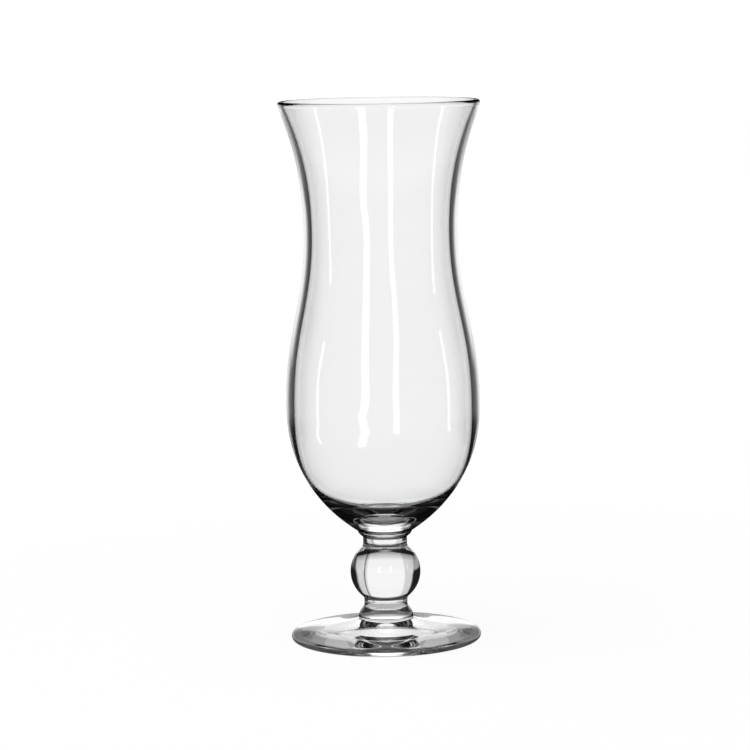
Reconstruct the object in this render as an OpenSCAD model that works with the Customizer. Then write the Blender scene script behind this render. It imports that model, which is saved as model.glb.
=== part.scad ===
// Hurricane glass: a clear stemmed glass with a flared mouth, a narrow waist,
// a round bulb, a ball knop between two short collars, and a domed foot.
// The foot stands on z = 0, and +Z is the axis that every piece is turned about.

/* [Bowl] */
// Largest diameter of the lip
rim_d = 77.9; // [74:0.1:90]
// Height of the bowl, from its seat on the upper collar to the top of the lip
bowl_h = 166.9; // [160:0.1:190]
// Lean of the wall just under the lip, from upright, in degrees
rim_flare = 16; // [8:1:26]
// Wall thickness just under the lip
rim_wall = 2.0; // [1.4:0.1:3]
// How much thicker the round bead along the lip is than the wall under it
lip_bead_extra = 0.2; // [0.1:0.1:1]
// Outer diameter of the waist
waist_d = 59.2; // [50:0.1:68]
// Height of the waist above the bowl's seat
waist_h = 116.0; // [105:0.1:130]
// Wall thickness at the waist
waist_wall = 3.1; // [2:0.1:4.5]
// Outer diameter of the bulb
bulb_d = 75.3; // [70:0.1:90]
// Height of the bulb's widest ring above the bowl's seat
bulb_h = 49.2; // [42:0.1:60]
// Wall thickness at the bulb
bulb_wall = 3.2; // [2:0.1:4]
// Glass under the middle of the bowl's floor, down to the seat
floor_t = 7.1; // [5:0.1:14]
// Diameter of the flat in the middle of the bowl's floor
floor_flat_d = 11.2; // [6:0.1:20]
// Rise of the floor where it leaves the flat, from level, in degrees
floor_rise = 9; // [4:1:25]
// Rise of the heel where it leaves the seat, from level, in degrees
heel_rise = 33; // [26:1:42]

/* [Upper collar] */
// Diameter of the upper neck
upper_neck_d = 17.1; // [14:0.1:18]
// Height of the straight stretch of the upper neck
upper_neck_h = 2.2; // [1:0.1:6]
// Height of the flare from the ball's top seat in to the upper neck
upper_flare_h = 2.3; // [1.2:0.1:4]
// How far the round shoulder under the bowl stands out from the upper neck
shoulder_w = 2.0; // [1:0.1:4]
// Height of the shoulder
shoulder_h = 2.7; // [1.6:0.1:5]

/* [Ball knop] */
// Diameter of the ball
knop_d = 27.3; // [25:0.1:32]
// Height that the whole ball would have without its two seats
knop_h = 25.6; // [24:0.1:30]
// Diameter of the flat seat on top of the ball
knop_top_seat_d = 19.2; // [18.4:0.1:21]
// Diameter of the flat seat under the ball
knop_bottom_seat_d = 18.8; // [18.2:0.1:21]

/* [Lower collar] */
// Diameter of the lower neck
lower_neck_d = 16.8; // [14:0.1:18]
// Height of the straight stretch of the lower neck
lower_neck_h = 1.7; // [1:0.1:6]
// Height of the flare from the ball's bottom seat in to the lower neck
lower_flare_h = 1.9; // [1.2:0.1:4]
// How far the root on the foot stands out from the lower neck
root_w = 2.3; // [1:0.1:4]
// Height of the root
root_h = 5.7; // [3:0.1:8]

/* [Foot] */
// Diameter of the foot
foot_d = 74.0; // [66:0.1:90]
// Height of the foot, from the table to its seat for the lower collar
foot_h = 7.7; // [7:0.1:12]
// Thickness of the foot's round edge
foot_edge_t = 2.5; // [2:0.1:4]
// Rise of the foot's top where it leaves the edge, from level, in degrees
foot_edge_rise = 12; // [3:1:16]
// Rise of the foot's top where it meets its seat, from level, in degrees
foot_seat_rise = 22; // [8:1:30]
// Width of the flat ring that the foot rests on, inside its round edge
rest_ring_w = 2.4; // [1:0.1:4]
// Depth of the hollow under the middle of the foot
hollow_h = 4.1; // [1:0.1:5]

/* [Smoothness] */
// Steps along each curved stretch of an outline
curve_steps = 14; // [6:1:20]
// Steps along each small round
round_steps = 8; // [4:1:12]
// Sides of every turned piece
$fn = 96; // [32:4:192]

/* [Hidden] */

glass_tint = [0.86, 0.90, 0.91, 0.45];

// How far each stretch of the bowl's wall runs straight on from its lower and its
// upper end before it turns, as shares of the stretch's height
mouth_pull_shares = [0.58, 0.14];
waist_pull_shares = [0.43, 0.40];
bulb_pull_share = 0.30;
// Length of the heel's straight run from the seat, as a share of the bulb's radius
heel_pull_share = 0.69;
// Height where the floor's curve turns in from the bulb, as a share of the height where
// the heel turns up to it
floor_turn_share = 0.68;
// Run of the floor's curve at the flat, as a share of its drop
floor_pull_share = 0.213;
// Runs of each flare at its seat and at its neck, as shares of its height
flare_pull_shares = [0.5, 0.5];
// Runs of the shoulder at the neck and at the seat, as shares of its height
shoulder_pull_shares = [0.22, 0.52];
// Runs of the root at the seat and at the neck, as shares of its height
root_pull_shares = [0.62, 0.28];
// Runs of the foot's top curve at the edge and at the seat, as shares of its width
dome_pull_shares = [0.33, 0.33];
// Runs of the hollow's curve at its middle and at its rim, as shares of its radius
hollow_pull_shares = [0.24, 0.56];

knop_r = knop_d / 2;
top_seat_r = knop_top_seat_d / 2;
bottom_seat_r = knop_bottom_seat_d / 2;
// Angles of the ball's two seats, above and below its equator, and their heights
top_seat_a = acos(top_seat_r / knop_r);
bottom_seat_a = acos(bottom_seat_r / knop_r);
top_seat_rise = sin(top_seat_a) * knop_h / 2;
bottom_seat_drop = sin(bottom_seat_a) * knop_h / 2;

upper_neck_r = upper_neck_d / 2;
lower_neck_r = lower_neck_d / 2;
bowl_seat_r = upper_neck_r + shoulder_w;
foot_seat_r = lower_neck_r + root_w;
upper_collar_h = upper_flare_h + upper_neck_h + shoulder_h;
lower_collar_h = root_h + lower_neck_h + lower_flare_h;

// Each piece stands on the one below it
lower_collar_z = foot_h;
knop_z = lower_collar_z + lower_collar_h + bottom_seat_drop;
upper_collar_z = knop_z + top_seat_rise;
bowl_z = upper_collar_z + upper_collar_h;

// Point at an angle and a distance, or a direction when the distance is left out
function polar(a, r = 1) = [r * cos(a), r * sin(a)];

// Smooth curve from a to d that leaves towards b and arrives from c
function curve(a, b, c, d) = [
    for (i = [0 : curve_steps])
        let (t = i / curve_steps, u = 1 - t)
            pow(u, 3) * a + 3 * u * u * t * b + 3 * u * t * t * c + pow(t, 3) * d
];

// Arc about a centre, between two angles
function arc(centre, r, from, to) = [
    for (i = [0 : round_steps]) centre + polar(from + (to - from) * i / round_steps, r)
];

// A stretch without its first point, which the stretch before it ends on
function rest(points) = [for (i = [1 : len(points) - 1]) points[i]];

// One solid turned about the axis from an outline of radii and heights
module turned(outline) {
    color(glass_tint) rotate_extrude() polygon(outline);
}

// One side of the bowl's wall, from the bulb up to the lip
function wall_side(bulb, waist, lip) =
    let (
        waist_rise = waist[1] - bulb[1],
        mouth_rise = lip[1] - waist[1]
    )
    concat(
        curve(
            bulb,
            bulb + [0, waist_pull_shares[0] * waist_rise],
            waist - [0, waist_pull_shares[1] * waist_rise],
            waist
        ),
        rest(curve(
            waist,
            waist + [0, mouth_pull_shares[0] * mouth_rise],
            lip - polar(90 - rim_flare, mouth_pull_shares[1] * mouth_rise),
            lip
        ))
    );

// Outline of the bowl above its seat: up the outside, over the lip, down the inside
function bowl_outline() =
    let (
        bead_r = (rim_wall + lip_bead_extra) / 2,
        bead = [rim_d / 2 - bead_r, bowl_h - bead_r],
        bead_turn = acos(rim_wall / 2 / bead_r),
        bead_from = -rim_flare - bead_turn,
        bead_to = 180 - rim_flare + bead_turn,
        seat = [bowl_seat_r, 0],
        waist = [waist_d / 2, waist_h],
        bulb = [bulb_d / 2, bulb_h],
        waist_in = waist - [waist_wall, 0],
        bulb_in = bulb - [bulb_wall, 0],
        flat = [floor_flat_d / 2, floor_t],
        heel_turn = seat + polar(heel_rise, heel_pull_share * bulb[0]),
        inner_side = wall_side(bulb_in, waist_in, bead + polar(bead_to, bead_r)),
        top = len(inner_side) - 1
    )
    concat(
        [[0, 0]],
        curve(
            seat,
            heel_turn,
            bulb - [0, bulb_pull_share * bulb_h],
            bulb
        ),
        rest(wall_side(bulb, waist, bead + polar(bead_from, bead_r))),
        rest(arc(bead, bead_r, bead_from, bead_to)),
        [for (i = [1 : top]) inner_side[top - i]],
        rest(curve(
            bulb_in,
            [bulb_in[0], floor_turn_share * heel_turn[1]],
            flat + polar(floor_rise, floor_pull_share * (bulb_h - floor_t)),
            flat
        )),
        [[0, floor_t]]
    );

// Outward and upward share of the ball's slope at a seat under its equator
function ball_slope(a) = let (v = [knop_d * sin(a), knop_h * cos(a)]) v / norm(v);

// Outline of the upper collar above the ball's top seat
function upper_collar_outline() =
    let (
        slope = ball_slope(top_seat_a),
        ball_seat = [top_seat_r, 0],
        neck_low = [upper_neck_r, upper_flare_h],
        neck_top = [upper_neck_r, upper_flare_h + upper_neck_h],
        bowl_seat = [bowl_seat_r, upper_collar_h]
    )
    concat(
        [[0, 0]],
        curve(
            ball_seat,
            ball_seat + flare_pull_shares[0] * upper_flare_h * [-slope[0], slope[1]],
            neck_low - [0, flare_pull_shares[1] * upper_flare_h],
            neck_low
        ),
        curve(
            neck_top,
            neck_top + [0, shoulder_pull_shares[0] * shoulder_h],
            bowl_seat - [0, shoulder_pull_shares[1] * shoulder_h],
            bowl_seat
        ),
        [[0, upper_collar_h]]
    );

// Outline of the lower collar above the foot's seat
function lower_collar_outline() =
    let (
        foot_seat = [foot_seat_r, 0],
        neck_low = [lower_neck_r, root_h],
        neck_top = [lower_neck_r, root_h + lower_neck_h],
        ball_seat = [bottom_seat_r, lower_collar_h]
    )
    concat(
        [[0, 0]],
        curve(
            foot_seat,
            foot_seat + [0, root_pull_shares[0] * root_h],
            neck_low - [0, root_pull_shares[1] * root_h],
            neck_low
        ),
        curve(
            neck_top,
            neck_top + [0, flare_pull_shares[1] * lower_flare_h],
            ball_seat - flare_pull_shares[0] * lower_flare_h * ball_slope(bottom_seat_a),
            ball_seat
        ),
        [[0, lower_collar_h]]
    );

// Outline of the ball about its centre, cut flat at both seats
function knop_outline() = concat(
    [[0, -bottom_seat_drop]],
    [
        for (i = [0 : curve_steps])
            let (a = -bottom_seat_a + (top_seat_a + bottom_seat_a) * i / curve_steps)
                [knop_r * cos(a), sin(a) * knop_h / 2]
    ],
    [[0, top_seat_rise]]
);

// Outline of the foot: out under the hollow and the ring, round the edge, over the top
function foot_outline() =
    let (
        edge_r = foot_edge_t / 2,
        edge = [foot_d / 2 - edge_r, edge_r],
        ring_in = edge[0] - rest_ring_w,
        seat = [foot_seat_r, foot_h],
        top = edge + polar(90 - foot_edge_rise, edge_r),
        dome_w = top[0] - seat[0]
    )
    concat(
        curve(
            [0, hollow_h],
            [hollow_pull_shares[0] * ring_in, hollow_h],
            [ring_in - hollow_pull_shares[1] * ring_in, 0],
            [ring_in, 0]
        ),
        arc(edge, edge_r, -90, 90 - foot_edge_rise),
        rest(curve(
            top,
            top + polar(180 - foot_edge_rise, dome_pull_shares[0] * dome_w),
            seat + polar(-foot_seat_rise, dome_pull_shares[1] * dome_w),
            seat
        )),
        [[0, foot_h]]
    );

module foot() {
    turned(foot_outline());
}

module lower_collar() {
    translate([0, 0, lower_collar_z]) turned(lower_collar_outline());
}

module ball_knop() {
    translate([0, 0, knop_z]) turned(knop_outline());
}

module upper_collar() {
    translate([0, 0, upper_collar_z]) turned(upper_collar_outline());
}

module bowl() {
    translate([0, 0, bowl_z]) turned(bowl_outline());
}

foot();
lower_collar();
ball_knop();
upper_collar();
bowl();
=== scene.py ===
# A hurricane glass on a white sweep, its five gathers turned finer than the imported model.
import math
from collections import namedtuple

import bmesh
import bpy
from mathutils import Matrix, Vector


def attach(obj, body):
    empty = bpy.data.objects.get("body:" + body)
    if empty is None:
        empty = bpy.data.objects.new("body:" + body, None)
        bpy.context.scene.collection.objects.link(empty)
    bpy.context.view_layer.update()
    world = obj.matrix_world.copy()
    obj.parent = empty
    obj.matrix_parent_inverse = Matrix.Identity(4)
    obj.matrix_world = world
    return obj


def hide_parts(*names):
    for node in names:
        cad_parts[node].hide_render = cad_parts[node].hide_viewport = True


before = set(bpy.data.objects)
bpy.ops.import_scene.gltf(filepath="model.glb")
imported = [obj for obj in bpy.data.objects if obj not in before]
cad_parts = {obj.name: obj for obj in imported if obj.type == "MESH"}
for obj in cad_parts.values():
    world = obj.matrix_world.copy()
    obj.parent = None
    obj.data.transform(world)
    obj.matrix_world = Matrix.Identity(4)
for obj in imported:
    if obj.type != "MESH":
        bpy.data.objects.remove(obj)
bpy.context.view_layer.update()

MM = 0.001
UP = Vector((0, 1))

# Sizes of the glass in metres, as in the frame. Names that end in _FLARE are slopes from
# upright, and names that end in _RISE slopes from level, both in degrees
RIM_D = 77.9 * MM
BOWL_H = 166.9 * MM
RIM_FLARE = 16
RIM_WALL = 2.0 * MM
LIP_BEAD_EXTRA = 0.2 * MM
WAIST_D = 59.2 * MM
WAIST_H = 116.0 * MM
WAIST_WALL = 3.1 * MM
BULB_D = 75.3 * MM
BULB_H = 49.2 * MM
BULB_WALL = 3.2 * MM
FLOOR_T = 7.1 * MM
FLOOR_FLAT_D = 11.2 * MM
FLOOR_RISE = 9
HEEL_RISE = 33
UPPER_NECK_D = 17.1 * MM
UPPER_NECK_H = 2.2 * MM
UPPER_FLARE_H = 2.3 * MM
SHOULDER_W = 2.0 * MM
SHOULDER_H = 2.7 * MM
KNOP_D = 27.3 * MM
KNOP_H = 25.6 * MM
KNOP_TOP_SEAT_D = 19.2 * MM
KNOP_BOTTOM_SEAT_D = 18.8 * MM
LOWER_NECK_D = 16.8 * MM
LOWER_NECK_H = 1.7 * MM
LOWER_FLARE_H = 1.9 * MM
ROOT_W = 2.3 * MM
ROOT_H = 5.7 * MM
FOOT_D = 74.0 * MM
FOOT_H = 7.7 * MM
FOOT_EDGE_T = 2.5 * MM
FOOT_EDGE_RISE = 12
FOOT_SEAT_RISE = 22
REST_RING_W = 2.4 * MM
HOLLOW_H = 4.1 * MM

# Runs of the curves at their two ends, as shares of what each curve spans
MOUTH_PULL_SHARES = (0.58, 0.14)
WAIST_PULL_SHARES = (0.43, 0.40)
BULB_PULL_SHARE = 0.30
HEEL_PULL_SHARE = 0.69
FLOOR_TURN_SHARE = 0.68
FLOOR_PULL_SHARE = 0.213
FLARE_PULL_SHARES = (0.5, 0.5)
SHOULDER_PULL_SHARES = (0.22, 0.52)
ROOT_PULL_SHARES = (0.62, 0.28)
DOME_PULL_SHARES = (0.33, 0.33)
HOLLOW_PULL_SHARES = (0.24, 0.56)

# Radii, angles in radians and heights that follow from the sizes above
UPPER_NECK_R = UPPER_NECK_D / 2
LOWER_NECK_R = LOWER_NECK_D / 2
BOWL_SEAT_R = UPPER_NECK_R + SHOULDER_W
FOOT_SEAT_R = LOWER_NECK_R + ROOT_W
TOP_SEAT_R = KNOP_TOP_SEAT_D / 2
BOTTOM_SEAT_R = KNOP_BOTTOM_SEAT_D / 2
TOP_SEAT_A = math.acos(TOP_SEAT_R / (KNOP_D / 2))
BOTTOM_SEAT_A = math.acos(BOTTOM_SEAT_R / (KNOP_D / 2))
TOP_SEAT_LIFT = math.sin(TOP_SEAT_A) * KNOP_H / 2
BOTTOM_SEAT_DROP = math.sin(BOTTOM_SEAT_A) * KNOP_H / 2
UPPER_COLLAR_H = UPPER_FLARE_H + UPPER_NECK_H + SHOULDER_H
LOWER_COLLAR_H = ROOT_H + LOWER_NECK_H + LOWER_FLARE_H

# Fineness of the turned meshes, and the radius under which a point lies on the axis
SIDES = 256
CURVE_STEPS = 48
ROUND_STEPS = 14
SEAT_STEPS = 4
ON_AXIS = 1e-9

# The photograph's camera: its distance before the glass's axis, its height and its shift to
# the side in metres, its pitch and roll in degrees, its lens and sensor in millimetres
CAMERA_D = 1.13935
CAMERA_H = 0.24939
CAMERA_X = -0.00295
CAMERA_PITCH = 7.30
CAMERA_ROLL = -0.87
LENS = 142.33
SENSOR = 36.0

# The glass: its index of refraction and the two tints between which it drifts, then its
# waves: their number to a metre, in all and as a share of that along the axis, their height
# and how strongly they turn the light
GLASS_IOR = 1.52
GLASS_TINT = (0.998, 0.999, 0.999, 1)
GLASS_DEEP_TINT = (0.993, 0.997, 0.996, 1)
BOWL_WAVES = 55
STEM_WAVES = 110
CORD_STRETCH = 0.35
BOWL_WAVE_H = 0.004 * MM
STEM_WAVE_H = 0.006 * MM
WAVE_DETAIL = 2.0
WAVE_STRENGTH = 0.5

# How many times light may be mirrored or refracted, and how many clear faces it may pass
MOST_BOUNCES = 24
MOST_GAPS = 32

# The studio: the radius and height of its round wall, the ceiling's outer and inner radius,
# half the floor's width, the widest face of a round card in degrees, and the height of the
# ball's middle, from which elevations are counted
WALL_R = 1.8
WALL_H = 4.0
CEILING_R = 2.0
CEILING_HOLE_R = 0.01
FLOOR_R = 5.0
CARD_STEP = 6
EYE_H = 0.026

# Levels of the studio as the camera sees it: the paper's grey, and the glow added to it from
# a place near the foot to one further out; then the world as it is seen and as it lights,
# and the lamp's width, power and place
PAPER_GREY = (0.12, 0.12, 0.12, 1)
PAPER_GLOW = (0.15, 0.9, 0.93, 1.02)
WORLD_SEEN = 1.1
WORLD_LIGHT = 0.03
LAMP_W = 1.5
LAMP_POWER = 20
LAMP_AT = (-0.3, -0.3, 1.7)

# Kinds of path by which the glass shows its surroundings: the least and the most times that
# the light was mirrored (Glossy Depth), then the same for refracted (Transmission Depth).
# Each kind sees its own painted light and shade: painted reflections and refractions
PATHS = {
    "surface": (1, None, None, 0),
    "stem": (None, 0, 1, 2),
    "bowl": (None, 0, 3, None),
    "inner": (1, 1, 1, 2),
    "zigzag": (2, 5, 1, 2),
    "maze": (6, None, 1, 2),
    "deep": (1, None, 3, None),
}

# Painted light and shade of the surroundings, by the kind of path that shows them: levels
# that paint what the glass mirrors and shows through it. Places are turns about the glass or
# elevations in degrees, or distances from its axis in metres. Turn 0 is behind the glass as it
# is photographed, and turns count towards its right. Four numbers are a ramp: the two places
# between which it eases, then the levels at its start and its end. A number and a row are
# steps: the first level, then for each step its two places and the level past it. The levels
# of the ramps BOWL_LEAD and INNER_LEAD are degrees, added to the turn
SURFACE_ROUND = (0.95, ((16, 44, 0.42),))
SURFACE_TOP = (1.0, ((5.5, 9, 0.25), (9, 12, 0.05), (12, 15, 0.0)))
SURFACE_NEAR = (0.35, 0.65, 0.0, 1.0)
SURFACE_SIDE = (75, 95, 1.0, 0.0)
SURFACE_FRONT = (75, 95, 0.0, 0.9)
SURFACE_FRONT_NEAR = (0.12, 0.50, 0.0, 1.0)
SURFACE_FRONT_TOP = (45, 60, 1.0, 0.0)

# The stem's places to left and right lead by STEM_LEAD over the distance, and by no more
# than STEM_LEAD_MOST degrees. The levels of STEM_RIGHT are added to those of STEM_LEFT
STEM_LEAD = 0.45
STEM_LEAD_MOST = 10.0
STEM_LEFT = (0.72, ((-24.8, -23.8, 1.0),))
STEM_RIGHT = (0.0, ((23.0, 24.0, -0.25), (25.9, 26.5, -0.78), (28.3, 28.9, -0.27)))
STEM_LEFT_EDGE = (-42, -36.5, 0.02, 1.0)
STEM_LEFT_PATCH = (0.13, 0.25, 0.55, 0.0)
STEM_RIGHT_EDGE = (39, 48, 1.0, 0.02)
# Painted shade of the glass on the floor round the foot, as the stem shows it
STEM_PAINTED_FOOT_SHADE = (0.0, (
    (0.0360, 0.0365, 0.02), (0.0490, 0.0510, 0.42), (0.0515, 0.0575, 0.64),
    (0.0575, 0.070, 0.92), (0.070, 0.20, 1.0),
))
STEM_TOP = (29, 34, 1.0, 0.03)
# Painted light on the floor under the foot as the stem shows it, brightest near the foot's edge,
# with painted shade at its flanks and before it
STEM_UNDER = (1.2, ((0.024, 0.034, 1.3), (0.0366, 0.0370, 0.0)))
STEM_UNDER_FLANK = (71, 79, 0.0, 0.75)
STEM_UNDER_FLANK_NEAR = (0.019, 0.023, 0.0, 1.0)
STEM_UNDER_FRONT = (125, 131, 0.0, 0.98)
STEM_UNDER_FRONT_NEAR = (0.0120, 0.0128, 0.0, 1.0)
STEM_FRONT = (100, 115, 0.0, 0.9)
STEM_FRONT_NEAR = (0.06, 0.10, 0.0, 1.0)

BOWL_LEAD = (1.2, 1.6, 10, 0.0)
BOWL_FADE = (28, 60, 1.0, 0.0)
BOWL_SIDE = (38, 50, 0.0, 1.0)
BOWL_TOP = (30, 36, 1.0, 0.03)
# Painted shade on the floor under the middle of the foot, behind it
BOWL_DIM = (0.0225, 0.0250, 0.7, 0.0)
BOWL_DIM_ROUND = (6, 12, 1.0, 0.0)

INNER_WINDOW = (1.5, ((14, 19, 0.3), (20, 24, 0.02)))
INNER_LEAD = (1.1, 1.5, 7.0, 0.0)
INNER_FADE = (11, 36, 1.1, 0.0)
INNER_ABOVE = (3.5, 5.5, 0.0, 1.0)
INNER_TOP = (1.0, ((17, 20, 0.03), (55, 60, 0.9)))
# Painted shade round the foot's edge, then a dimmer band from about half a metre out
INNER_GROUND = (0.0, (
    (0.036, 0.038, 0.10), (0.040, 0.046, 0.45), (0.046, 0.065, 1.0), (0.45, 0.70, 0.7),
    (1.15, 1.6, 1.0),
))
# Painted light on the floor under the middle of the foot
INNER_UNDER = (0.0, ((0.003, 0.004, 0.5), (0.0115, 0.0150, 0.02), (0.0366, 0.0370, 0.0)))
# A ring of painted light on the floor from 0.07 to 0.5 metres out, towards the flanks
INNER_BRIM = (0.0, ((0.065, 0.080, 1.0), (0.40, 0.60, 0.0)))
INNER_BRIM_ROUND = (48, 56, 0.0, 0.6)

ZIGZAG_WINDOW = (0.85, ((8, 20, 0.2), (26, 34, 0.01)))
ZIGZAG_TOP = (1.0, ((4, 12, 0.3), (28, 31, 0.03), (55, 60, 0.6)))
ZIGZAG_NEAR = (0.10, 0.13, 0.0, 1.0)
# Painted light on the floor under the foot's edge, as the foot mirrors it inside a few times
ZIGZAG_UNDER = (0.05, (
    (0.014, 0.024, 0.2), (0.024, 0.026, 0.9), (0.029, 0.034, 0.15), (0.0345, 0.0355, 0.03),
    (0.10, 0.11, 0.0),
))

# Painted light on the floor under the foot's edge, as the foot mirrors it many times
MAZE_UNDER = (0.05, (
    (0.023, 0.025, 0.90), (0.029, 0.031, 0.30), (0.0345, 0.0355, 0.03), (0.100, 0.120, 0.01),
))

DEEP_WINDOW = (1.0, ((24, 26, 0.02),))
DEEP_TOP = (28, 31, 1.0, 0.02)
# Painted shade on the floor under the foot
DEEP_GROUND = (0.3, ((0.036, 0.038, 1.0),))
DEEP_OVERHEAD = (72, 80, 0.0, 1.05)

# Rings of glowing cards low round the foot, painted light and shade that the foot mirrors
# inside, at one distance, by the kind of path that shows them: from and to a turn on either
# side, then the level and the height
RING_R = 0.10
RINGS = {
    "zigzag": ((0, 150, 0.05, 0.032), (150, 180, 0.70, 0.034)),
    "maze": ((0, 9, 0.15, 0.042), (9, 12, 0.50, 0.042), (12, 19, 1.00, 0.042),
             (19, 24, 0.60, 0.042), (24, 40, 0.42, 0.042), (40, 70, 0.12, 0.042),
             (70, 180, 0.12, 0.042)),
}

# A card before the foot, which keeps most of the strips off the ball: from and to a turn,
# then its distance, its height and its level
SHADE = (100, 260, 0.095, 0.038, 0.05)

# Narrow glowing cards before the glass, painted highlights that light nothing and show only in
# its outer reflection, with their level: half their width in degrees, then along each of them
# a distance, a height and a turn about the glass
STRIP_LEVEL = 4.0
STRIPS = {
    "centre_left": (4.9, (
        (0.17, 0.006, 205.0), (0.22, 0.006, 203.5), (0.28, 0.006, 200.0), (0.50, 0.006, 203.5),
        (0.72, 0.006, 204.5), (1.00, 0.006, 201.5), (1.00, 0.10, 200.0), (1.00, 0.25, 201.0),
        (1.00, 0.40, 201.5), (1.00, 0.60, 201.5),
    )),
    "centre_right": (3.7, (
        (0.255, 0.007, 166.0), (0.50, 0.007, 165.0), (0.72, 0.007, 164.5), (1.00, 0.007, 165.2),
        (1.00, 0.10, 165.5), (1.00, 0.25, 164.5), (1.00, 0.40, 162.0), (1.00, 0.60, 162.0),
    )),
    "flank_left": (2.0, (
        (0.20, 0.006, 258.5), (0.27, 0.006, 263.0), (0.40, 0.006, 260.5), (0.40, 0.06, 260.0),
        (0.40, 0.12, 260.0), (0.40, 0.185, 256.0),
    )),
    "flank_right": (2.0, (
        (0.28, 0.006, 98.2), (0.40, 0.006, 99.5), (0.40, 0.06, 100.0), (0.40, 0.12, 100.0),
        (0.40, 0.195, 102.2),
    )),
}

# Where light comes from, as sockets of a material's nodes
Place = namedtuple("Place", "turn side reach elevation")


def polar(angle, r=1.0):
    """A step of a length in a direction, counted in degrees from straight outwards."""
    a = math.radians(angle)
    return Vector((r * math.cos(a), r * math.sin(a)))


def curve(a, b, c, d, steps=CURVE_STEPS):
    """Smooth curve from a to d that leaves towards b and arrives from c."""
    points = []
    for i in range(steps + 1):
        t = i / steps
        u = 1 - t
        points.append(u**3 * a + 3 * u * u * t * b + 3 * u * t * t * c + t**3 * d)
    return points


def arc(centre, r, start, end, steps=ROUND_STEPS):
    """Points of a round edge between two directions in degrees."""
    turn = (end - start) / steps
    return [centre + polar(start + turn * i, r) for i in range(steps + 1)]


def disc(height, r, outward):
    """Points of a flat seat, between the axis and its rim."""
    points = [Vector((r * i / SEAT_STEPS, height)) for i in range(SEAT_STEPS + 1)]
    return points if outward else points[::-1]


def wall_side(bulb, waist, lip):
    """One side of the bowl's wall, from the bulb up to the lip."""
    waist_rise = waist.y - bulb.y
    mouth_rise = lip.y - waist.y
    lower = curve(
        bulb,
        bulb + WAIST_PULL_SHARES[0] * waist_rise * UP,
        waist - WAIST_PULL_SHARES[1] * waist_rise * UP,
        waist,
    )
    upper = curve(
        waist,
        waist + MOUTH_PULL_SHARES[0] * mouth_rise * UP,
        lip - polar(90 - RIM_FLARE, MOUTH_PULL_SHARES[1] * mouth_rise),
        lip,
    )
    return lower + upper[1:]


def ball_slope(angle):
    """Direction of the ball's side at a seat under its equator."""
    return Vector((KNOP_D * math.sin(angle), KNOP_H * math.cos(angle))).normalized()


def bowl_outline():
    """The bowl above its seat: the seat, up the outside, over the lip, down the inside."""
    bead_r = (RIM_WALL + LIP_BEAD_EXTRA) / 2
    bead = Vector((RIM_D / 2 - bead_r, BOWL_H - bead_r))
    bead_turn = math.degrees(math.acos(RIM_WALL / 2 / bead_r))
    bead_from = -RIM_FLARE - bead_turn
    bead_to = 180 - RIM_FLARE + bead_turn
    seat = Vector((BOWL_SEAT_R, 0))
    waist = Vector((WAIST_D / 2, WAIST_H))
    bulb = Vector((BULB_D / 2, BULB_H))
    waist_in = waist - Vector((WAIST_WALL, 0))
    bulb_in = bulb - Vector((BULB_WALL, 0))
    flat = Vector((FLOOR_FLAT_D / 2, FLOOR_T))
    heel_turn = seat + polar(HEEL_RISE, HEEL_PULL_SHARE * bulb.x)
    heel = curve(
        seat,
        heel_turn,
        bulb - BULB_PULL_SHARE * BULB_H * UP,
        bulb,
    )
    inside = wall_side(bulb_in, waist_in, bead + polar(bead_to, bead_r))[::-1]
    floor = curve(
        bulb_in,
        Vector((bulb_in.x, FLOOR_TURN_SHARE * heel_turn.y)),
        flat + polar(FLOOR_RISE, FLOOR_PULL_SHARE * (BULB_H - FLOOR_T)),
        flat,
    )
    return [
        ("seat", disc(0, BOWL_SEAT_R, True)),
        ("glass", heel
            + wall_side(bulb, waist, bead + polar(bead_from, bead_r))[1:]
            + arc(bead, bead_r, bead_from, bead_to)[1:]
            + inside[1:]
            + floor[1:]
            + disc(FLOOR_T, FLOOR_FLAT_D / 2, False)[1:]),
    ]


def upper_collar_outline():
    """The collar above the ball: a flare, a neck and the shoulder under the bowl."""
    slope = ball_slope(TOP_SEAT_A)
    ball_seat = Vector((TOP_SEAT_R, 0))
    neck_low = Vector((UPPER_NECK_R, UPPER_FLARE_H))
    neck_top = Vector((UPPER_NECK_R, UPPER_FLARE_H + UPPER_NECK_H))
    bowl_seat = Vector((BOWL_SEAT_R, UPPER_COLLAR_H))
    flare = curve(
        ball_seat,
        ball_seat + FLARE_PULL_SHARES[0] * UPPER_FLARE_H * Vector((-slope.x, slope.y)),
        neck_low - FLARE_PULL_SHARES[1] * UPPER_FLARE_H * UP,
        neck_low,
    )
    shoulder = curve(
        neck_top,
        neck_top + SHOULDER_PULL_SHARES[0] * SHOULDER_H * UP,
        bowl_seat - SHOULDER_PULL_SHARES[1] * SHOULDER_H * UP,
        bowl_seat,
    )
    return [
        ("seat", disc(0, TOP_SEAT_R, True)),
        ("glass", flare + shoulder),
        ("seat", disc(UPPER_COLLAR_H, BOWL_SEAT_R, False)),
    ]


def knop_outline():
    """The ball above its bottom seat."""
    span = TOP_SEAT_A + BOTTOM_SEAT_A
    side = []
    for i in range(CURVE_STEPS + 1):
        a = -BOTTOM_SEAT_A + span * i / CURVE_STEPS
        side.append(Vector((
            KNOP_D / 2 * math.cos(a),
            KNOP_H / 2 * math.sin(a) + BOTTOM_SEAT_DROP,
        )))
    return [
        ("seat", disc(0, BOTTOM_SEAT_R, True)),
        ("glass", side),
        ("seat", disc(TOP_SEAT_LIFT + BOTTOM_SEAT_DROP, TOP_SEAT_R, False)),
    ]


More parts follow.
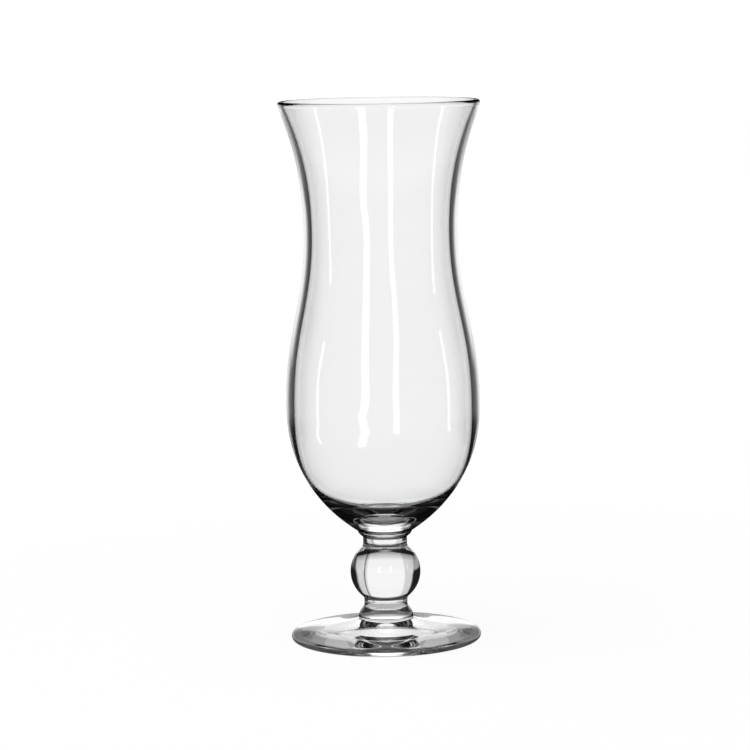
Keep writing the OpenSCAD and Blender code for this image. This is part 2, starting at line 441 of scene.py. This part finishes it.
def lower_collar_outline():
    """The collar above the foot: its root, a neck and the flare under the ball."""
    foot_seat = Vector((FOOT_SEAT_R, 0))
    neck_low = Vector((LOWER_NECK_R, ROOT_H))
    neck_top = Vector((LOWER_NECK_R, ROOT_H + LOWER_NECK_H))
    ball_seat = Vector((BOTTOM_SEAT_R, LOWER_COLLAR_H))
    root = curve(
        foot_seat,
        foot_seat + ROOT_PULL_SHARES[0] * ROOT_H * UP,
        neck_low - ROOT_PULL_SHARES[1] * ROOT_H * UP,
        neck_low,
    )
    flare = curve(
        neck_top,
        neck_top + FLARE_PULL_SHARES[1] * LOWER_FLARE_H * UP,
        ball_seat - FLARE_PULL_SHARES[0] * LOWER_FLARE_H * ball_slope(BOTTOM_SEAT_A),
        ball_seat,
    )
    return [
        ("seat", disc(0, FOOT_SEAT_R, True)),
        ("glass", root + flare),
        ("seat", disc(LOWER_COLLAR_H, BOTTOM_SEAT_R, False)),
    ]


def foot_outline():
    """The foot: out under the hollow and the ring, round the edge, over the top."""
    edge_r = FOOT_EDGE_T / 2
    edge = Vector((FOOT_D / 2 - edge_r, edge_r))
    ring_in = edge.x - REST_RING_W
    seat = Vector((FOOT_SEAT_R, FOOT_H))
    top = edge + polar(90 - FOOT_EDGE_RISE, edge_r)
    dome_w = top.x - seat.x
    hollow = curve(
        Vector((0, HOLLOW_H)),
        Vector((HOLLOW_PULL_SHARES[0] * ring_in, HOLLOW_H)),
        Vector((ring_in - HOLLOW_PULL_SHARES[1] * ring_in, 0)),
        Vector((ring_in, 0)),
    )
    dome = curve(
        top,
        top + polar(180 - FOOT_EDGE_RISE, DOME_PULL_SHARES[0] * dome_w),
        seat + polar(-FOOT_SEAT_RISE, DOME_PULL_SHARES[1] * dome_w),
        seat,
    )
    return [
        ("glass", hollow + arc(edge, edge_r, -90, 90 - FOOT_EDGE_RISE) + dome[1:]),
        ("seat", disc(FOOT_H, FOOT_SEAT_R, False)),
    ]


def ring_of(bm, point, height):
    """The vertices of one turned point, a single one where it lies on the axis."""
    if point.x < ON_AXIS:
        return [bm.verts.new((0, 0, height + point.y))]
    ring = []
    for s in range(SIDES):
        a = 2 * math.pi * s / SIDES
        ring.append(bm.verts.new((
            point.x * math.cos(a),
            point.x * math.sin(a),
            height + point.y,
        )))
    return ring


def join_rings(bm, last, ring, is_glass):
    """Faces between two rings: smooth glass, or flat faces of a seat."""
    for s in range(SIDES):
        e = (s + 1) % SIDES
        if len(last) == 1:
            corners = (last[0], ring[e], ring[s])
        elif len(ring) == 1:
            corners = (last[s], last[e], ring[0])
        else:
            corners = (last[s], last[e], ring[e], ring[s])
        face = bm.faces.new(corners)
        face.smooth = is_glass
        face.material_index = 0 if is_glass else 1


def add_object(name, mesh, *materials):
    """An object of a mesh, with its materials, linked to the scene."""
    for material in materials:
        mesh.materials.append(material)
    thing = bpy.data.objects.new(name, mesh)
    bpy.context.scene.collection.objects.link(thing)
    return thing


def turned(name, outline, height, glass, seam):
    """A closed solid turned about the axis, with its flat seats in the seam's material."""
    mesh = bpy.data.meshes.new(name)
    bm = bmesh.new()
    last = None
    for kind, points in outline:
        fresh = points if last is None else points[1:]
        for point in fresh:
            ring = ring_of(bm, point, height)
            if last is not None:
                join_rings(bm, last, ring, kind == "glass")
            last = ring
    for edge in bm.edges:
        kinds = {face.material_index for face in edge.link_faces}
        edge.smooth = len(kinds) == 1
    bm.normal_update()
    bm.to_mesh(mesh)
    bm.free()
    return add_object(name, mesh, glass, seam)


def new_material(name):
    """A material without nodes, and its nodes and links to fill."""
    material = bpy.data.materials.new(name)
    material.use_nodes = True
    material.node_tree.nodes.clear()
    return material, material.node_tree.nodes, material.node_tree.links


def glass_material(name, wave_count, wave_height):
    """Clear glass, its tint a little uneven, with faint waves in its polished surface."""
    material, nodes, links = new_material(name)
    out = nodes.new("ShaderNodeOutputMaterial")
    shader = nodes.new("ShaderNodeBsdfPrincipled")
    shader.inputs["Transmission Weight"].default_value = 1.0
    shader.inputs["Roughness"].default_value = 0.0
    shader.inputs["IOR"].default_value = GLASS_IOR
    place = nodes.new("ShaderNodeTexCoord")
    cords = nodes.new("ShaderNodeMapping")
    cords.inputs["Scale"].default_value = (1.0, 1.0, CORD_STRETCH)
    links.new(place.outputs["Object"], cords.inputs["Vector"])
    waves = nodes.new("ShaderNodeTexNoise")
    waves.inputs["Scale"].default_value = wave_count
    waves.inputs["Detail"].default_value = WAVE_DETAIL
    links.new(cords.outputs[0], waves.inputs["Vector"])
    colour = nodes.new("ShaderNodeMix")
    colour.data_type = "RGBA"
    colour.inputs["A"].default_value = GLASS_TINT
    colour.inputs["B"].default_value = GLASS_DEEP_TINT
    links.new(waves.outputs[0], colour.inputs["Factor"])
    links.new(colour.outputs["Result"], shader.inputs["Base Color"])
    bump = nodes.new("ShaderNodeBump")
    bump.inputs["Strength"].default_value = WAVE_STRENGTH
    bump.inputs["Distance"].default_value = wave_height
    links.new(waves.outputs[0], bump.inputs["Height"])
    links.new(bump.outputs[0], shader.inputs["Normal"])
    links.new(shader.outputs[0], out.inputs["Surface"])
    return material


def seam_material():
    """The fused seam between two gathers, which light passes without a change."""
    material, nodes, links = new_material("fused_seam")
    out = nodes.new("ShaderNodeOutputMaterial")
    shader = nodes.new("ShaderNodeBsdfTransparent")
    links.new(shader.outputs[0], out.inputs["Surface"])
    return material


def combine(nodes, links, operation, first, second):
    """One sum, product or other operation of two sockets, or of a socket and a number."""
    node = nodes.new("ShaderNodeMath")
    node.operation = operation
    for k, value in enumerate((first, second)):
        if isinstance(value, (int, float)):
            node.inputs[k].default_value = value
        else:
            links.new(value, node.inputs[k])
    return node.outputs[0]


def product(nodes, links, *factors):
    """The product of several sockets or numbers."""
    total = factors[0]
    for factor in factors[1:]:
        total = combine(nodes, links, "MULTIPLY", total, factor)
    return total


def greatest(nodes, links, *values):
    """The greatest of several sockets."""
    most = values[0]
    for value in values[1:]:
        most = combine(nodes, links, "MAXIMUM", most, value)
    return most


def one_less(nodes, links, value):
    """What is left of 1 after a value is taken from it."""
    return combine(nodes, links, "SUBTRACT", 1.0, value)


def ramp_node(nodes, links, source, ramp):
    """Eases from a ramp's first level to its last while the source goes through its places."""
    node = nodes.new("ShaderNodeMapRange")
    node.interpolation_type = "SMOOTHSTEP"
    for name, value in zip(("From Min", "From Max", "To Min", "To Max"), ramp):
        node.inputs[name].default_value = value
    links.new(source, node.inputs["Value"])
    return node.outputs["Result"]


def steps_node(nodes, links, source, steps):
    """A value that eases from one level to the next at each of a row of places."""
    first, row = steps
    total = None
    level = first
    for start, stop, value in row:
        part = ramp_node(nodes, links, source, (start, stop, 0.0, value - level))
        total = part if total is None else combine(nodes, links, "ADD", total, part)
        level = value
    return combine(nodes, links, "ADD", total, first)


def path_test(nodes, links, kind):
    """1 for the paths of a kind, and 0 for the others."""
    least_mirrored, most_mirrored, least_crossed, most_crossed = PATHS[kind]
    path = nodes.new("ShaderNodeLightPath")
    met = None
    for socket, least, most in (("Glossy Depth", least_mirrored, most_mirrored),
                                ("Transmission Depth", least_crossed, most_crossed)):
        for limit, operation, half in ((least, "GREATER_THAN", -0.5), (most, "LESS_THAN", 0.5)):
            if limit is None:
                continue
            test = combine(nodes, links, operation, path.outputs[socket], limit + half)
            met = test if met is None else combine(nodes, links, "MULTIPLY", met, test)
    return met


def place_nodes(nodes, links):
    """Where the light comes from: its turn about the glass, its side, distance and elevation.

    The side is the turn to the left or the right, so it has no sign.
    """
    place = nodes.new("ShaderNodeNewGeometry")
    parts = nodes.new("ShaderNodeSeparateXYZ")
    links.new(place.outputs["Position"], parts.inputs[0])
    x, y, z = parts.outputs
    turn = combine(nodes, links, "DEGREES", combine(nodes, links, "ARCTAN2", x, y), 0.0)
    side = combine(nodes, links, "ABSOLUTE", turn, 0.0)
    flat = nodes.new("ShaderNodeCombineXYZ")
    links.new(x, flat.inputs[0])
    links.new(y, flat.inputs[1])
    length = nodes.new("ShaderNodeVectorMath")
    length.operation = "LENGTH"
    links.new(flat.outputs[0], length.inputs[0])
    reach = length.outputs["Value"]
    height = combine(nodes, links, "SUBTRACT", z, EYE_H)
    lift = combine(nodes, links, "ARCTAN2", height, reach)
    elevation = combine(nodes, links, "DEGREES", lift, 0.0)
    return Place(turn, side, reach, elevation)


def surface_light(nodes, links, place):
    """What the outer surface mirrors: white low behind the glass, an even glow before it."""
    back = product(
        nodes, links,
        steps_node(nodes, links, place.side, SURFACE_ROUND),
        steps_node(nodes, links, place.elevation, SURFACE_TOP),
        ramp_node(nodes, links, place.reach, SURFACE_NEAR),
        ramp_node(nodes, links, place.side, SURFACE_SIDE),
    )
    front = product(
        nodes, links,
        ramp_node(nodes, links, place.side, SURFACE_FRONT),
        ramp_node(nodes, links, place.reach, SURFACE_FRONT_NEAR),
        ramp_node(nodes, links, place.elevation, SURFACE_FRONT_TOP),
    )
    return combine(nodes, links, "ADD", back, front)


def stem_beyond(nodes, links, place, top):
    """What the stem shows of the wall and the floor behind it: white between dark edges, with
    painted shade round the foot.
    """
    lead = combine(nodes, links, "MINIMUM",
                   combine(nodes, links, "DIVIDE", STEM_LEAD, place.reach), STEM_LEAD_MOST)
    sign = combine(nodes, links, "SIGN", place.turn, 0.0)
    led = combine(nodes, links, "ADD", place.turn, combine(nodes, links, "MULTIPLY", lead, sign))
    grey = combine(nodes, links, "ADD", steps_node(nodes, links, led, STEM_LEFT),
                   steps_node(nodes, links, led, STEM_RIGHT))
    left_edge = greatest(
        nodes, links,
        ramp_node(nodes, links, place.reach, STEM_LEFT_PATCH),
        ramp_node(nodes, links, place.turn, STEM_LEFT_EDGE),
    )
    right_edge = ramp_node(nodes, links, place.turn, STEM_RIGHT_EDGE)
    # painted shade of the glass on the floor round the foot
    near = steps_node(nodes, links, place.reach, STEM_PAINTED_FOOT_SHADE)
    return product(nodes, links, grey, left_edge, right_edge, near, top)


def stem_under(nodes, links, place):
    """What the stem shows of the floor under the foot: painted light, white, darker at the sides
    and before.
    """
    flank = product(
        nodes, links,
        ramp_node(nodes, links, place.side, STEM_UNDER_FLANK),
        ramp_node(nodes, links, place.reach, STEM_UNDER_FLANK_NEAR),
    )
    front = product(
        nodes, links,
        ramp_node(nodes, links, place.side, STEM_UNDER_FRONT),
        ramp_node(nodes, links, place.reach, STEM_UNDER_FRONT_NEAR),
    )
    # painted light on the floor under the foot
    white = steps_node(nodes, links, place.reach, STEM_UNDER)
    return product(nodes, links, white, one_less(nodes, links, flank),
                   one_less(nodes, links, front))


def stem_light(nodes, links, place):
    """What the ball, the collars, the foot and the lip show straight through."""
    top = ramp_node(nodes, links, place.elevation, STEM_TOP)
    before = product(
        nodes, links,
        ramp_node(nodes, links, place.side, STEM_FRONT),
        ramp_node(nodes, links, place.reach, STEM_FRONT_NEAR),
        top,
    )
    return greatest(nodes, links, stem_under(nodes, links, place),
                    stem_beyond(nodes, links, place, top), before)


def bowl_light(nodes, links, place):
    """What the bowl's two walls show straight through: white, but for a fade at the flanks and
    painted shade under the foot's middle.
    """
    lead = combine(nodes, links, "ADD", place.side,
                   ramp_node(nodes, links, place.reach, BOWL_LEAD))
    round_it = greatest(
        nodes, links,
        ramp_node(nodes, links, lead, BOWL_FADE),
        ramp_node(nodes, links, place.side, BOWL_SIDE),
    )
    top = ramp_node(nodes, links, place.elevation, BOWL_TOP)
    # painted shade under the middle of the foot
    dim = product(
        nodes, links,
        ramp_node(nodes, links, place.reach, BOWL_DIM),
        ramp_node(nodes, links, place.side, BOWL_DIM_ROUND),
    )
    return product(nodes, links, round_it, top, one_less(nodes, links, dim))


def inner_light(nodes, links, place):
    """What the foot and the walls mirror once inside: a white window behind the glass, with
    painted light and shade on the floor near the foot.
    """
    window = steps_node(nodes, links, place.side, INNER_WINDOW)
    lead = combine(nodes, links, "ADD", place.side,
                   ramp_node(nodes, links, place.reach, INNER_LEAD))
    fade = ramp_node(nodes, links, lead, INNER_FADE)
    round_it = nodes.new("ShaderNodeMix")
    links.new(ramp_node(nodes, links, place.elevation, INNER_ABOVE), round_it.inputs["Factor"])
    links.new(fade, round_it.inputs["A"])
    links.new(window, round_it.inputs["B"])
    beyond = product(
        nodes, links,
        round_it.outputs[0],
        steps_node(nodes, links, place.elevation, INNER_TOP),
        steps_node(nodes, links, place.reach, INNER_GROUND),
    )
    # painted light under the foot, and a ring of painted light round it
    under = steps_node(nodes, links, place.reach, INNER_UNDER)
    brim = product(
        nodes, links,
        ramp_node(nodes, links, place.side, INNER_BRIM_ROUND),
        steps_node(nodes, links, place.reach, INNER_BRIM),
    )
    return greatest(nodes, links, under, brim, beyond)


def zigzag_light(nodes, links, place):
    """What is mirrored inside a few times: mostly dark, with the light above."""
    beyond = product(
        nodes, links,
        steps_node(nodes, links, place.side, ZIGZAG_WINDOW),
        steps_node(nodes, links, place.elevation, ZIGZAG_TOP),
        ramp_node(nodes, links, place.reach, ZIGZAG_NEAR),
    )
    return greatest(nodes, links, steps_node(nodes, links, place.reach, ZIGZAG_UNDER), beyond)


def maze_light(nodes, links, place):
    """What reaches the eye along the foot after many mirrorings: the light under its edge."""
    return steps_node(nodes, links, place.reach, MAZE_UNDER)


def deep_light(nodes, links, place):
    """What the heel mirrors through both walls: the window behind, with painted shade under the
    foot, and the light above.
    """
    beyond = product(
        nodes, links,
        steps_node(nodes, links, place.side, DEEP_WINDOW),
        ramp_node(nodes, links, place.elevation, DEEP_TOP),
        steps_node(nodes, links, place.reach, DEEP_GROUND),
    )
    overhead = ramp_node(nodes, links, place.elevation, DEEP_OVERHEAD)
    return greatest(nodes, links, beyond, overhead)


LIGHTS = {
    "surface": surface_light,
    "stem": stem_light,
    "bowl": bowl_light,
    "inner": inner_light,
    "zigzag": zigzag_light,
    "maze": maze_light,
    "deep": deep_light,
}


def surround_glow(nodes, links):
    """A glow whose strength is set for each kind of path through the glass: painted light and
    shade for what it mirrors and shows through it.
    """
    place = place_nodes(nodes, links)
    total = None
    for kind, light in LIGHTS.items():
        part = combine(nodes, links, "MULTIPLY", path_test(nodes, links, kind),
                       light(nodes, links, place))
        total = part if total is None else combine(nodes, links, "ADD", total, part)
    glow = nodes.new("ShaderNodeEmission")
    links.new(total, glow.inputs["Strength"])
    return glow.outputs[0]


def surround_material():
    """Studio surroundings of white, grey and black, which only the glass shows: painted light
    and shade.
    """
    material, nodes, links = new_material("surroundings")
    out = nodes.new("ShaderNodeOutputMaterial")
    links.new(surround_glow(nodes, links), out.inputs["Surface"])
    return material


def glow_material(name, strength, seen):
    """An even glow that one kind of path through the glass shows; the others pass it."""
    material, nodes, links = new_material(name)
    out = nodes.new("ShaderNodeOutputMaterial")
    glow = nodes.new("ShaderNodeEmission")
    glow.inputs["Strength"].default_value = strength
    gap = nodes.new("ShaderNodeBsdfTransparent")
    mix = nodes.new("ShaderNodeMixShader")
    links.new(path_test(nodes, links, seen), mix.inputs["Fac"])
    links.new(gap.outputs[0], mix.inputs[1])
    links.new(glow.outputs[0], mix.inputs[2])
    links.new(mix.outputs[0], out.inputs["Surface"])
    return material


def floor_material():
    """Pale paper that renders as white, with the shade that the lamp casts near the foot; the
    glass sees painted light and shade on it instead.
    """
    material, nodes, links = new_material("floor_paper")
    out = nodes.new("ShaderNodeOutputMaterial")
    paper = nodes.new("ShaderNodeBsdfDiffuse")
    paper.inputs["Color"].default_value = PAPER_GREY
    seen = nodes.new("ShaderNodeEmission")
    reach = place_nodes(nodes, links).reach
    links.new(ramp_node(nodes, links, reach, PAPER_GLOW), seen.inputs["Strength"])
    camera_side = nodes.new("ShaderNodeAddShader")
    links.new(paper.outputs[0], camera_side.inputs[0])
    links.new(seen.outputs[0], camera_side.inputs[1])
    path = nodes.new("ShaderNodeLightPath")
    mix = nodes.new("ShaderNodeMixShader")
    links.new(path.outputs["Is Camera Ray"], mix.inputs["Fac"])
    # Rays off or through the glass see the painted light and shade of the surroundings
    links.new(surround_glow(nodes, links), mix.inputs[1])
    links.new(camera_side.outputs[0], mix.inputs[2])
    links.new(mix.outputs[0], out.inputs["Surface"])
    return material


def build_glass():
    """The five gathers, each over its node and at its height."""
    bowl_glass = glass_material("bowl_glass", BOWL_WAVES, BOWL_WAVE_H)
    stem_glass = glass_material("stem_glass", STEM_WAVES, STEM_WAVE_H)
    seam = seam_material()
    collar_z = FOOT_H
    knop_z = collar_z + LOWER_COLLAR_H
    upper_z = knop_z + BOTTOM_SEAT_DROP + TOP_SEAT_LIFT
    bowl_z = upper_z + UPPER_COLLAR_H
    parts = {
        "foot": (foot_outline(), 0, stem_glass, "stem_glass"),
        "lower_collar": (lower_collar_outline(), collar_z, stem_glass, "stem_glass"),
        "ball_knop": (knop_outline(), knop_z, stem_glass, "stem_glass"),
        "upper_collar": (upper_collar_outline(), upper_z, stem_glass, "stem_glass"),
        "bowl": (bowl_outline(), bowl_z, bowl_glass, "bowl_glass"),
    }
    for node, (outline, height, glass, slot) in parts.items():
        piece = turned("glass_" + node, outline, height, glass, seam)
        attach(piece, "root")
        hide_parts(node)


def on_circle(r, turn, height):
    """A point at a distance, a turn about the glass and a height."""
    a = math.radians(turn)
    return (r * math.sin(a), r * math.cos(a), height)


def add_card(name, rows, material):
    """A card of faces between rows of two points, for the glass alone.

    It is not photographed and shades nothing.
    """
    points = [point for row in rows for point in row]
    faces = [(2 * i, 2 * i + 2, 2 * i + 3, 2 * i + 1) for i in range(len(rows) - 1)]
    mesh = bpy.data.meshes.new(name)
    mesh.from_pydata(points, [], faces)
    card = add_object(name, mesh, material)
    card.visible_camera = False
    card.visible_diffuse = False
    card.visible_shadow = False


def round_card(name, start, stop, low, high, material):
    """A card between two rings about the glass, each a radius and a height."""
    steps = max(2, math.ceil(abs(stop - start) / CARD_STEP))
    rows = []
    for i in range(steps + 1):
        turn = start + (stop - start) * i / steps
        rows.append([on_circle(r, turn, height) for r, height in (low, high)])
    add_card(name, rows, material)


def strip_card(name, half, places, material):
    """A long narrow card that follows a row of places."""
    rows = []
    for r, height, turn in places:
        rows.append([on_circle(r, side, height) for side in (turn - half, turn + half)])
    add_card(name, rows, material)


def build_floor():
    """The white sweep that the glass stands on."""
    mesh = bpy.data.meshes.new("floor")
    corners = [(x * FLOOR_R, y * FLOOR_R, 0) for x, y in ((-1, -1), (1, -1), (1, 1), (-1, 1))]
    mesh.from_pydata(corners, [], [(0, 1, 2, 3)])
    add_object("floor", mesh, floor_material())


def build_world():
    """A white background to the camera, and hardly any light from it."""
    world = bpy.data.worlds.new("studio")
    bpy.context.scene.world = world
    world.use_nodes = True
    nodes, links = world.node_tree.nodes, world.node_tree.links
    background = nodes["Background"]
    background.inputs["Color"].default_value = (1, 1, 1, 1)
    path = nodes.new("ShaderNodeLightPath")
    level = nodes.new("ShaderNodeMapRange")
    level.inputs["To Min"].default_value = WORLD_LIGHT
    level.inputs["To Max"].default_value = WORLD_SEEN
    links.new(path.outputs["Is Camera Ray"], level.inputs["Value"])
    links.new(level.outputs[0], background.inputs["Strength"])


def build_cards():
    """The surroundings of the glass, with their painted light and shade: wall, ceiling, rings,
    shade and strips of painted highlight.
    """
    around = surround_material()
    round_card("surroundings", -180, 180, (WALL_R, 0), (WALL_R, WALL_H), around)
    round_card("overhead", -180, 180, (CEILING_HOLE_R, WALL_H), (CEILING_R, WALL_H), around)
    # rings of painted light and shade for what the foot mirrors inside
    for side, side_name in ((-1, "left"), (1, "right")):
        for kind, levels in RINGS.items():
            for start, stop, level, height in levels:
                name = f"ring_{kind}_{side_name}_{start}"
                round_card(name, side * start, side * stop, (RING_R, 0.0), (RING_R, height),
                           glow_material(name, level, kind))
    start, stop, reach, height, level = SHADE
    round_card("front_shade", start, stop, (reach, 0.0), (reach, height),
               glow_material("front_shade", level, "surface"))
    # painted highlights: the strips glow only in the glass's outer reflection
    strip = glow_material("strip_painted_highlight", STRIP_LEVEL, "surface")
    for name, (half, places) in STRIPS.items():
        strip_card("strip_" + name, half, places, strip)


def build_lamp():
    """A lamp above the glass, for the faint shade at the foot."""
    lamp = bpy.data.lights.new("overhead_lamp", "AREA")
    lamp.size = LAMP_W
    lamp.energy = LAMP_POWER
    light = bpy.data.objects.new("overhead_lamp", lamp)
    light.location = LAMP_AT
    light.visible_glossy = False
    light.visible_transmission = False
    bpy.context.scene.collection.objects.link(light)


def build_stage():
    """Everything round the glass, and how far light is followed."""
    scene = bpy.context.scene
    scene.view_settings.view_transform = "Standard"
    scene.cycles.max_bounces = MOST_BOUNCES
    scene.cycles.glossy_bounces = MOST_BOUNCES
    scene.cycles.transmission_bounces = MOST_BOUNCES
    scene.cycles.transparent_max_bounces = MOST_GAPS
    build_floor()
    build_world()
    build_cards()
    build_lamp()


def build_camera():
    """The camera, as it was fitted to the photograph."""
    data = bpy.data.cameras.new("camera")
    data.sensor_width = SENSOR
    data.lens = LENS
    camera = bpy.data.objects.new("camera", data)
    bpy.context.scene.collection.objects.link(camera)
    camera.location = (CAMERA_X, -CAMERA_D, CAMERA_H)
    look = Matrix.Rotation(math.radians(90 - CAMERA_PITCH), 4, "X")
    roll = Matrix.Rotation(math.radians(CAMERA_ROLL), 4, "Z")
    camera.rotation_euler = (look @ roll).to_euler()
    bpy.context.scene.camera = camera


build_camera()
build_glass()
build_stage()
